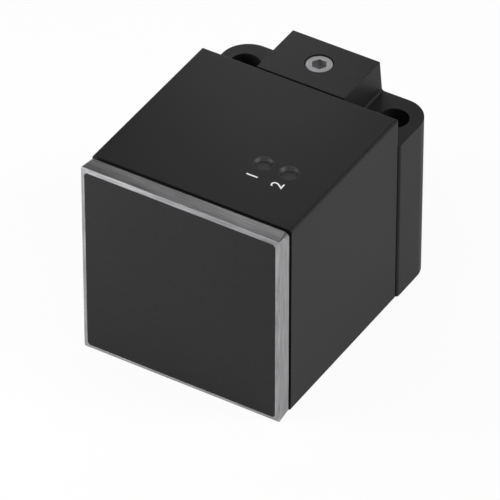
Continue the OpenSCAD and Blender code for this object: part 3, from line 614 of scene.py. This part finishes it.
def make_base(material):
    """Moulded base: a block with round rear edges, the drafted centre block on top and all its bores."""
    (low_x, low_y, _), (high_x, high_y, high_z) = BASE
    shoulder_z = high_z - BLOCK_DROP
    # The rim comes nearer to the head than the solid does, so the seam is as fine as it shows
    front_y = low_y - RIM_REACH
    middle_y = (front_y + high_y) / 2
    deselect()
    bpy.ops.mesh.primitive_cube_add(size=1, location=(0, middle_y * MM, shoulder_z / 2 * MM))
    piece = bpy.context.object
    piece.name = "rounded_base_block"
    piece.scale = ((high_x - low_x) * MM, (high_y - front_y) * MM, shoulder_z * MM)
    bpy.ops.object.transform_apply(location=True, rotation=True, scale=True)
    bpy.ops.object.mode_set(mode="EDIT")
    for rear, radius, steps in ((True, REAR_R, 24), (False, SIDE_R, 6)):
        pick(piece, lambda edge: upright(edge, middle_y, rear), "edges")
        bpy.ops.mesh.bevel(offset=radius * MM, segments=steps, affect="EDGES")
    bpy.ops.object.mode_set(mode="OBJECT")

    # Centre block: its foot is wider than its top by the draft
    deselect()
    foot_w = BLOCK_W + 2 * (BLOCK_DROP + MOULD_EDGE) * tan(BLOCK_DRAFT)
    bpy.ops.mesh.primitive_plane_add(size=1, location=(0, middle_y * MM, (shoulder_z - MOULD_EDGE) * MM))
    block = bpy.context.object
    block.scale = (foot_w * MM, (high_y - front_y) * MM, 1)
    bpy.ops.object.transform_apply(location=True, rotation=True, scale=True)
    bpy.ops.object.mode_set(mode="EDIT")
    bpy.ops.mesh.select_all(action="SELECT")
    bpy.ops.mesh.extrude_region_move(
        TRANSFORM_OT_translate={"value": (0, 0, (BLOCK_DROP + MOULD_EDGE) * MM)}
    )
    bpy.ops.transform.resize(
        value=(BLOCK_W / foot_w, 1, 1), center_override=(0, middle_y * MM, high_z * MM)
    )
    bpy.ops.mesh.select_all(action="SELECT")
    bpy.ops.mesh.normals_make_consistent(inside=False)
    bpy.ops.object.mode_set(mode="OBJECT")
    apply(piece, "BOOLEAN", operation="UNION", object=block, solver="EXACT")
    bpy.data.objects.remove(block)

    # Fillets where the centre block rises from the shoulders
    bpy.ops.object.mode_set(mode="EDIT")
    foot_x = BLOCK_W / 2 + BLOCK_DROP * tan(BLOCK_DRAFT)
    pick(piece, lambda edge: all(
        abs(v.co.z / MM - shoulder_z) < PICK_REACH and abs(abs(v.co.x / MM) - foot_x) < PICK_REACH
        for v in edge.verts), "edges")
    set_back = FOOT_FILLET * tan((pi / 2 - BLOCK_DRAFT) / 2)
    bpy.ops.mesh.bevel(offset=set_back * MM, segments=8, affect="EDGES")
    bpy.ops.object.mode_set(mode="OBJECT")

    row_y = high_y - HOLE_BACK
    beyond = 2
    for side in (-1, 1):
        hole_x = side * (high_x - HOLE_EDGE)
        drill(piece, HOLE_D, (hole_x, row_y, -beyond), (hole_x, row_y, shoulder_z + beyond), "Z")
    socket_end = low_y + SOCKET_DEPTH
    drill(piece, SOCKET_D, (0, low_y - beyond, AXIS_Z), (0, socket_end, AXIS_Z), "Y")
    drill(piece, FLANGE_D, (0, low_y, AXIS_Z), (0, socket_end + FLANGE_DEPTH, AXIS_Z), "Y")
    drill(piece, SHANK_D, (0, socket_end, AXIS_Z), (0, high_y + beyond, AXIS_Z), "Y")
    drill(piece, SCREW_HOLE_D, (0, row_y, AXIS_Z), (0, row_y, INSERT_LOW + beyond), "Z")
    drill(piece, INSERT_D, (0, row_y, INSERT_LOW), (0, row_y, INSERT_LOW + INSERT_L), "Z")
    apply(piece, "BEVEL", width=MOULD_EDGE * MM, segments=3, limit_method="ANGLE", angle_limit=radians(35))

    # The lock screw's hole keeps a crisp rim
    drill(piece, SCREW_HOLE_D, (0, row_y, INSERT_LOW + beyond), (0, row_y, high_z + beyond), "Z")
    complete(piece, material, smooth=28)
    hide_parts("base_block")


# Connector sleeve, in millimetres: M12 x 1 thread, its ridge before it is cut, and the turned body
THREAD_D = 12.0
PITCH = 1.0
THREAD_DEPTH = 0.6
RIDGE_W = 0.92  # width of the thread's ridge at its root
CREST_W = 0.08  # and at its crest
RIDGE_ROOT = 0.15  # how far the ridge goes into the core
RIDGE_OVER = 0.05  # how far it comes past the thread's outside
BORE_D = 10.1
RELIEF_L = 0.6  # plain length between shank and thread
MOUTH_EDGE = 0.5  # chamfer of the thread at the mouth
CORE_EDGE = 0.1  # chamfer of the core at the mouth
BORE_EDGE = 0.15  # chamfer of the bore at the mouth
BLANK_TRIM = 0.05  # how far the blank ends before the mouth
BLANK_WALL = 0.1  # how far the blank's inner faces keep off the sleeve's
SLEEVE_FLANGE_T = 1.0
SLEEVE_SHANK_D = 13.0
SHANK_L = 3.1  # flange and shank together
SEAL_FLOOR_D = 11.4  # groove of the O-ring, and its width
SEAL_GROOVE = 1.1
SEAT_D = 11.26  # seat of the contact carrier, and its depth
SEAT_T = 0.6
TURN_SIDES = 96
RIDGE_TURN = 0.35  # share of a step between two of the turn's sides


def lathe(name, section, start):
    """Turns a closed section of radius and depth, in millimetres, about the head's middle axis: a circle
    is drawn out and resized from corner to corner, and its last edge is bridged to its first."""
    deselect()
    radius, depth = section[0]
    bpy.ops.mesh.primitive_circle_add(
        vertices=TURN_SIDES, radius=radius * MM, location=(0, (start + depth) * MM, AXIS_Z * MM),
        rotation=(pi / 2, 0, 0),
    )
    piece = bpy.context.object
    piece.name = name
    bpy.ops.object.transform_apply(location=True, rotation=True, scale=True)
    bpy.ops.object.mode_set(mode="EDIT")
    bpy.ops.mesh.select_all(action="SELECT")
    for (r0, d0), (r1, d1) in zip(section, section[1:]):
        bpy.ops.mesh.extrude_region_move(TRANSFORM_OT_translate={"value": (0, (d1 - d0) * MM, 0)})
        bpy.ops.transform.resize(
            value=(r1 / r0, 1, r1 / r0), center_override=(0, (start + d1) * MM, AXIS_Z * MM)
        )
    pick(piece, lambda edge: edge.is_boundary, "edges")
    bpy.ops.mesh.bridge_edge_loops()
    bpy.ops.mesh.select_all(action="SELECT")
    bpy.ops.mesh.normals_make_consistent(inside=False)
    bpy.ops.object.mode_set(mode="OBJECT")
    return piece


def make_sleeve(material):
    """Turned sleeve with a real screw thread: a V-shaped ridge, wound along it and cut to a blank."""
    start = SLEEVE[0].y
    length = SLEEVE[1].y - start
    thread_start = SHANK_L + RELIEF_L
    core_r = THREAD_D / 2 - THREAD_DEPTH
    shank_r = SLEEVE_SHANK_D / 2
    groove_y = (SLEEVE_FLANGE_T + SHANK_L - SEAL_GROOVE) / 2
    sleeve = lathe("threaded_sleeve", [
        (SEAT_D / 2, 0),
        (SLEEVE[1].x, 0),
        (SLEEVE[1].x, SLEEVE_FLANGE_T),
        (shank_r, SLEEVE_FLANGE_T),
        (shank_r, groove_y),
        (SEAL_FLOOR_D / 2, groove_y),
        (SEAL_FLOOR_D / 2, groove_y + SEAL_GROOVE),
        (shank_r, groove_y + SEAL_GROOVE),
        (shank_r, SHANK_L),
        (core_r, SHANK_L),
        (core_r, length - CORE_EDGE),
        (core_r - CORE_EDGE, length),
        (BORE_D / 2 + BORE_EDGE, length),
        (BORE_D / 2, length - BORE_EDGE),
        (BORE_D / 2, SEAT_T),
        (SEAT_D / 2, SEAT_T),
    ], start)

    # The ridge starts before the thread and ends past the mouth, and the blank cuts it off there.
    # Its section is a small rectangle, drawn narrow towards the crest.
    turns = int((length - thread_start) / PITCH) + 2
    root_r = core_r - RIDGE_ROOT
    crest_r = THREAD_D / 2 + RIDGE_OVER
    deselect()
    bpy.ops.mesh.primitive_plane_add(
        size=1, location=((root_r + crest_r) / 2 * MM, 0, 0), rotation=(pi / 2, 0, 0)
    )
    ridge = bpy.context.object
    ridge.scale = ((crest_r - root_r) * MM, RIDGE_W * MM, 1)
    bpy.ops.object.transform_apply(location=True, rotation=True, scale=True)
    bpy.ops.object.mode_set(mode="EDIT")
    pick(ridge, lambda vertex: vertex.co.x > core_r * MM)
    bpy.ops.transform.resize(value=(1, 1, CREST_W / RIDGE_W), center_override=(0, 0, 0))
    bpy.ops.mesh.select_all(action="SELECT")
    bpy.ops.mesh.delete(type="ONLY_FACE")
    bpy.ops.object.mode_set(mode="OBJECT")
    apply(
        ridge, "SCREW", axis="Z", angle=2 * pi, screw_offset=PITCH * MM, iterations=turns,
        steps=TURN_SIDES, render_steps=TURN_SIDES, use_merge_vertices=False, use_smooth_shade=False,
    )

    # A turn by a share of a step, RIDGE_TURN, keeps its edges off those of the sleeve
    ridge.rotation_euler = (-pi / 2, RIDGE_TURN * 2 * pi / TURN_SIDES, 0)
    ridge.location = (0, (start + thread_start - PITCH) * MM, AXIS_Z * MM)
    bpy.ops.object.transform_apply(location=True, rotation=True, scale=True)
    bpy.ops.object.mode_set(mode="EDIT")
    pick(ridge, lambda edge: edge.is_boundary, "edges")
    bpy.ops.mesh.edge_face_add()
    bpy.ops.mesh.select_all(action="SELECT")
    bpy.ops.mesh.normals_make_consistent(inside=False)
    bpy.ops.object.mode_set(mode="OBJECT")

    blank = lathe("thread_blank", [
        (BORE_D / 2 + BLANK_WALL, thread_start),
        (core_r - BLANK_WALL, thread_start),
        (THREAD_D / 2, thread_start + THREAD_DEPTH + BLANK_WALL),
        (THREAD_D / 2, length - MOUTH_EDGE),
        (THREAD_D / 2 - MOUTH_EDGE + BLANK_TRIM, length - BLANK_TRIM),
        (BORE_D / 2 + BLANK_WALL, length - BLANK_TRIM),
    ], start)
    apply(ridge, "BOOLEAN", operation="INTERSECT", object=blank, solver="EXACT")
    apply(sleeve, "BOOLEAN", operation="UNION", object=ridge, solver="EXACT")
    bpy.data.objects.remove(blank)
    bpy.data.objects.remove(ridge)
    complete(sleeve, material)
    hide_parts("connector_sleeve")


# Windows and lock screw, in millimetres
ROD_SIDES = 64
GUIDE_D = 4.0
COLLAR_D = 4.8
COLLAR_T = 1.2
TOP_WALL = 2.0  # thickness of the housing over the collar
DISH_D = 3.96
DISH_WALL = 0.8  # width of the dish's soft wall
DISH_DEPTH = 0.6
DISH_STEPS = 8
SCREW_D = 5.0
POINT_D = 3.2
POINT_L = 1.5  # length of the dog point
SCREW_EDGE = 0.1  # chamfer of the top
SCREW_RISE = 0.3  # how much higher than the solid it stands
SCREW_FINE_EDGE = 0.06  # bevel of every edge
HEX_AF = 2.5  # hexagon across its flats, and its corners' radius
HEX_R = HEX_AF / sqrt(3)
HEX_DEPTH = 3.0
HEX_TURN = radians(30)
DRILL_R = 1.1
DRILL_H = 0.64
DRILL_OVER = 1.1  # how much larger than the drill's point its cone is


def rod(name, section, centre):
    """Stands a solid of circles upright on a point, in millimetres: each radius and height of the section
    is drawn out of the one before it and resized."""
    radius, height = section[0]
    deselect()
    bpy.ops.mesh.primitive_circle_add(
        vertices=ROD_SIDES, radius=radius * MM, fill_type="NGON",
        location=(centre.x * MM, centre.y * MM, height * MM),
    )
    piece = bpy.context.object
    piece.name = name
    bpy.ops.object.transform_apply(location=True, rotation=True, scale=True)
    bpy.ops.object.mode_set(mode="EDIT")
    bpy.ops.mesh.select_all(action="SELECT")
    for (r0, z0), (r1, z1) in zip(section, section[1:]):
        bpy.ops.mesh.extrude_region_move(TRANSFORM_OT_translate={"value": (0, 0, (z1 - z0) * MM)})
        bpy.ops.transform.resize(
            value=(r1 / r0, r1 / r0, 1), center_override=(centre.x * MM, centre.y * MM, z1 * MM)
        )
    bpy.ops.mesh.select_all(action="SELECT")
    bpy.ops.mesh.normals_make_consistent(inside=False)
    bpy.ops.object.mode_set(mode="OBJECT")
    return piece


def make_window(node, name, material):
    """Light guide: a rod with a collar under the top wall, and a dish with a soft steep wall in its end."""
    low, high = [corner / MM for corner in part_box(node)]
    under = high.z - TOP_WALL
    shares = [step / DISH_STEPS for step in range(DISH_STEPS + 1)]
    dish = [
        (DISH_D / 2 - DISH_WALL * share, high.z - DISH_DEPTH * (1 - cos(pi * share)) / 2) for share in shares
    ]
    piece = rod(name, [
        (GUIDE_D / 2, low.z),
        (GUIDE_D / 2, under - COLLAR_T),
        (COLLAR_D / 2, under - COLLAR_T),
        (COLLAR_D / 2, under),
        (GUIDE_D / 2, under),
        (GUIDE_D / 2, high.z),
    ] + dish, centre_of(node))
    complete(piece, material, smooth=35)
    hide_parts(node)


def make_lock_screw(material, inside):
    """Set screw with a dog point: turned, with the hexagon pressed over its drilled start."""
    low, high = [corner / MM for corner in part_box("lock_screw")]
    top = high.z + SCREW_RISE
    centre = centre_of("lock_screw")
    piece = rod("hexagon_lock_screw", [
        (POINT_D / 2, low.z),
        (POINT_D / 2, low.z + POINT_L),
        (SCREW_D / 2, low.z + POINT_L + (SCREW_D - POINT_D) / 2),
        (SCREW_D / 2, top - SCREW_EDGE),
        (SCREW_D / 2 - SCREW_EDGE, top),
    ], centre)
    beyond = 1
    deselect()
    bpy.ops.mesh.primitive_cylinder_add(
        vertices=6, radius=HEX_R * MM, depth=(HEX_DEPTH + beyond) * MM,
        location=Vector((centre.x, centre.y, top + (beyond - HEX_DEPTH) / 2)) * MM,
        rotation=(0, 0, HEX_TURN),
    )
    cut(piece, bpy.context.object)

    # The drill's point is cut a little too large, so that it reaches up into the hexagon
    drill_top = top - HEX_DEPTH + DRILL_H * (DRILL_OVER - 1)
    deselect()
    bpy.ops.mesh.primitive_cone_add(
        vertices=32, radius1=0, radius2=DRILL_R * DRILL_OVER * MM, depth=DRILL_H * DRILL_OVER * MM,
        location=Vector((centre.x, centre.y, drill_top - DRILL_H * DRILL_OVER / 2)) * MM,
    )
    cut(piece, bpy.context.object)
    apply(
        piece, "BEVEL", width=SCREW_FINE_EDGE * MM, segments=2,
        limit_method="ANGLE", angle_limit=radians(40),
    )
    complete(piece, material)

    def in_hexagon(face):
        """Tells whether a face lies below the screw's top and inside the hexagon's corners."""
        middle = face.calc_center_median() / MM
        floor = top - HEX_DEPTH - 2 * DRILL_H
        return floor < middle.z < top - SCREW_EDGE and (middle.xy - centre.xy).length < HEX_R

    # The hexagon's paler steel: painted light that lifts the shade in the socket
    piece.data.materials.append(inside)
    bpy.ops.object.mode_set(mode="EDIT")
    pick(piece, in_hexagon, "faces")
    piece.active_material_index = 1
    bpy.ops.object.material_slot_assign()
    bpy.ops.object.mode_set(mode="OBJECT")
    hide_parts("lock_screw")


# Window numbers, in millimetres
NUMBER_H = 2.4
FONT_SHARE = 0.73  # height of a digit as a share of the font's size
INK = 0.012  # thickness of the print
NUMBER_BACK = 1.6  # from the window's edge to the number's middle


def make_number(text, window, material):
    """A plain printed number in front of its window, read from the right side of the head."""
    low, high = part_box(window)
    deselect()
    bpy.ops.object.text_add()
    number = bpy.context.object
    number.data.body = text
    number.data.size = NUMBER_H / FONT_SHARE * MM
    number.data.extrude = INK / 2 * MM
    number.data.align_x = "CENTER"
    number.rotation_euler = (0, 0, pi / 2)
    number.location = (
        (low.x + high.x) / 2 + NUMBER_H / 2 * MM,
        low.y - NUMBER_BACK * MM,
        (HEAD_W + INK / 2) * MM,
    )
    bpy.ops.object.convert(target="MESH")
    piece = bpy.context.object
    piece.name = "printed_number_" + text
    complete(piece, material)


def dress(material, *names):
    """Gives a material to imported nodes."""
    for name in names:
        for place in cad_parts[name].material_slots:
            place.material = material


housing = housing_plastic()
lens = smoked_polycarbonate()
steel = screw_steel()
nickel = sleeve_metal()
brushed = brushed_frame()
ink = printing_ink()

dress(housing, "head_housing", "base_block")
dress(cap_plastic(), "sensing_cap")
dress(seal_rubber(), "frame_gasket", "tail_seal", "sleeve_seal")
dress(rolled_copper(), "shield_ring")
dress(sintered_ferrite(), "ferrite_core")
dress(former_plastic(), "coil_former")
dress(enamelled_winding(), "coil_winding")
dress(enamelled_wire(), "coil_leads")
dress(carrier_plastic(), "core_carrier")
dress(solder_resist(), "main_board")
dress(
    package_plastic(),
    "sensor_chip", "output_transistor", "voltage_regulator", "suppressor_diode", "resistors",
)
dress(drawn_aluminium(), "buffer_capacitor")
dress(fired_ceramic(), "ceramic_capacitors")
dress(led_package("green_indicator", "#cfe6cf"), "power_led")
dress(led_package("yellow_indicator", "#ece0a8"), "switching_led")
dress(lens, "power_light_guide", "switching_light_guide")
dress(solder(), "solder_joints")
dress(insulation("brown", "#5a3018", "#6d3d20"), "brown_lead")
dress(insulation("white", "#dcdad4", "#e8e6e0"), "white_lead")
dress(insulation("blue", "#1c4f9c", "#2560b4"), "blue_lead")
dress(insulation("black", "#151515", "#1e1e1e"), "black_lead")
dress(cast_resin(), "tail_potting")
dress(insert_brass(), "screw_insert")
dress(steel, "lock_screw")
dress(contact_plastic(), "contact_carrier")
dress(pin_gold(), "contact_pins")
dress(nickel, "connector_sleeve")
dress(brushed, "front_frame")

make_front_frame(brushed)
make_base(housing)
make_sleeve(nickel)
make_window("power_light_guide", "dished_window_1", lens)
make_window("switching_light_guide", "dished_window_2", lens)
make_lock_screw(steel, socket_steel_painted_light())
make_number("1", "power_light_guide", ink)
make_number("2", "switching_light_guide", ink)


# Studio: a matt white floor between white walls under a dim ceiling, with soft lamps. Lengths are in
# millimetres, and the walls' height is that of a direction of length 1.
FLOOR_SIZE = 60000
FLOOR_GAP = 0.02
WALL_TOP, WALL_LEVEL = 0.05, 0.75
CEILING_FOOT, CEILING_LEVEL = 0.30, 0.15
AIM = (0, -20, 20)
CAMERA_PLACE = (453.993, FACE_Y - 721.625, 722.793)
CAMERA_FORWARD = (-0.403931, 0.662717, -0.630592)
CAMERA_LENS = 462.117


def make_floor():
    """White floor just under the object, wide enough to fill every view."""
    deselect()
    bpy.ops.mesh.primitive_plane_add(size=FLOOR_SIZE * MM, location=(0, 0, -FLOOR_GAP * MM))
    floor = bpy.context.object
    floor.name = "studio_floor"
    bpy.ops.object.transform_apply(location=True, rotation=True, scale=True)
    floor.data.materials.append(pale_floor())


def make_world():
    """White walls all round, and a dim ceiling above them."""
    world = bpy.data.worlds.new("studio")
    bpy.context.scene.world = world
    world.use_nodes = True
    tree = world.node_tree
    background = tree.nodes["Background"]
    place = add(tree, "ShaderNodeTexCoord")
    split = add(tree, "ShaderNodeSeparateXYZ", {"Vector": place.outputs["Generated"]})
    level = add(
        tree, "ShaderNodeMapRange", {"Value": split.outputs["Z"]},
        {"From Min": WALL_TOP, "From Max": CEILING_FOOT, "To Min": WALL_LEVEL, "To Max": CEILING_LEVEL},
        interpolation_type="SMOOTHSTEP",
    )

    # The camera sees it plain white, and metal and gloss mirror it as it lights the object
    path = add(tree, "ShaderNodeLightPath")
    seen = add(
        tree, "ShaderNodeMix", {0: path.outputs["Is Camera Ray"], 2: level.outputs["Result"]}, {3: 1.0},
        data_type="FLOAT",
    )
    tree.links.new(seen.outputs[0], background.inputs["Strength"])
    background.inputs["Color"].default_value = colour("#ffffff")


def make_lamp(name, direction, distance, size, level):
    """Soft square lamp that aims at the head, in a direction and at a distance from there. Level is about
    the brightness that it gives a white surface which faces it."""
    where = Vector(direction).normalized()
    deselect()
    bpy.ops.object.light_add(type="AREA", location=(Vector(AIM) + where * distance) * MM)
    lamp = bpy.context.object
    lamp.name = name
    lamp.rotation_euler = where.to_track_quat("Z", "Y").to_euler()
    lamp.data.shape = "SQUARE"
    lamp.data.size = size * MM

    # The light is spread over pi, and white sends back one part in pi of what reaches it
    lamp.data.energy = level * pi * pi * (distance * MM) ** 2
    lamp.visible_camera = False


def make_camera():
    """Camera at the photograph's angle, with its long lens."""
    deselect()
    bpy.ops.object.camera_add(location=Vector(CAMERA_PLACE) * MM)
    camera = bpy.context.object
    camera.rotation_euler = Vector(CAMERA_FORWARD).to_track_quat("-Z", "Y").to_euler()
    camera.data.lens = CAMERA_LENS
    camera.data.clip_start = 0.01
    camera.data.clip_end = 100
    bpy.context.scene.camera = camera


make_floor()
make_world()
make_lamp("top_lamp", (0.00, -0.38, 0.93), 900, 520, 0.245)
make_lamp("right_lamp", (0.90, 0.30, 0.70), 900, 420, 0.55)
make_lamp("low_lamp", (-0.90, -0.90, 0.10), 260, 160, 0.19)
make_lamp("left_lamp", (-1.00, -0.80, 0.50), 140, 70, 0.46)
make_lamp("rear_lamp", (-0.42, 0.75, 0.65), 108, 42, 0.10)
make_camera()
bpy.context.scene.view_settings.view_transform = "Standard"
